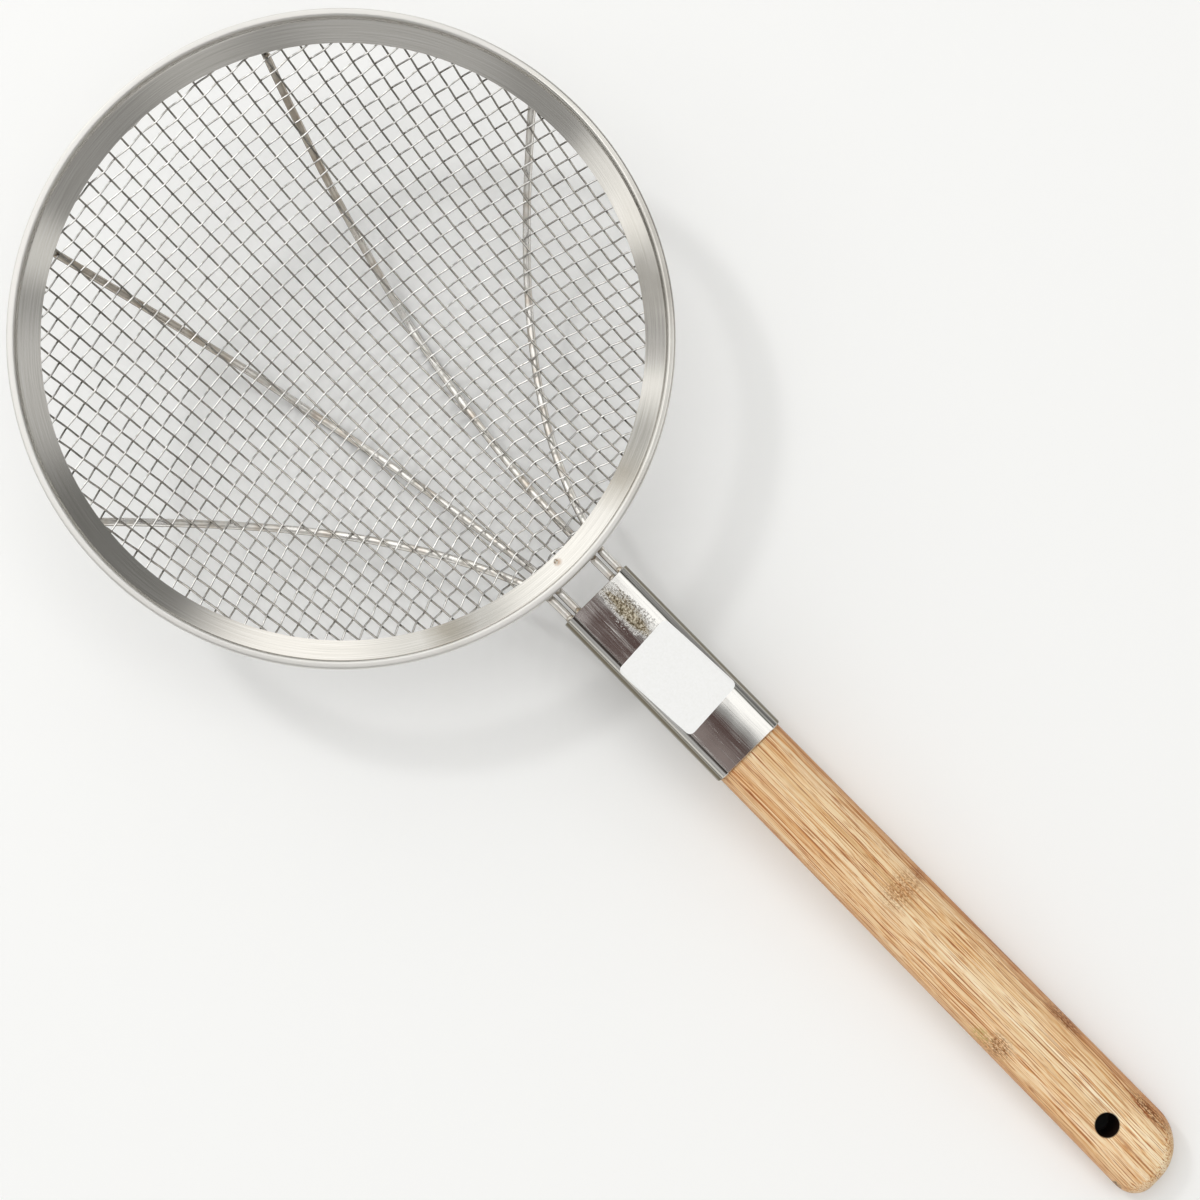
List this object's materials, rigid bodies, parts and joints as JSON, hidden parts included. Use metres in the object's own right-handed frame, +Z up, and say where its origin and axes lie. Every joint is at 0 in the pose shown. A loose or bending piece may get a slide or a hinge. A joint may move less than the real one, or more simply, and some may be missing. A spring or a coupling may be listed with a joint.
{
  "type": "kitchen strainer",
  "caption": "Round wire-mesh kitchen strainer with a folded steel rim, support rods under the bowl, a steel ferrule and a flat bamboo handle with a hanging hole.",
  "frame": {"origin": "on the table, under the middle of the strainer's box as it lies", "axes": "+X along the handle towards its hanging end, +Z up from the table, +Y to the left of the handle"},
  "size_m": [0.5396, 0.24, 0.0778],
  "materials": {
    "wire_mesh": "drawn stainless wire, woven",
    "rim_steel": "stainless strip, brushed round the rim",
    "rod_steel": "drawn stainless rod, bright",
    "ferrule_steel": "stainless tube, polished",
    "bamboo": "laminated bamboo, sanded and oiled",
    "label_paper": "blank coated paper"
  },
  "bodies": {
    "root": {"mesh_bowl": "wire_mesh", "rim_band": "rim_steel", "rim_core_wire": "rod_steel", "support_rod_outer_left": "rod_steel", "support_rod_inner_left": "rod_steel", "support_rod_inner_right": "rod_steel", "support_rod_outer_right": "rod_steel", "ferrule": "ferrule_steel", "handle": "bamboo", "paper_label": "label_paper"}
  },
  "joints": []
}
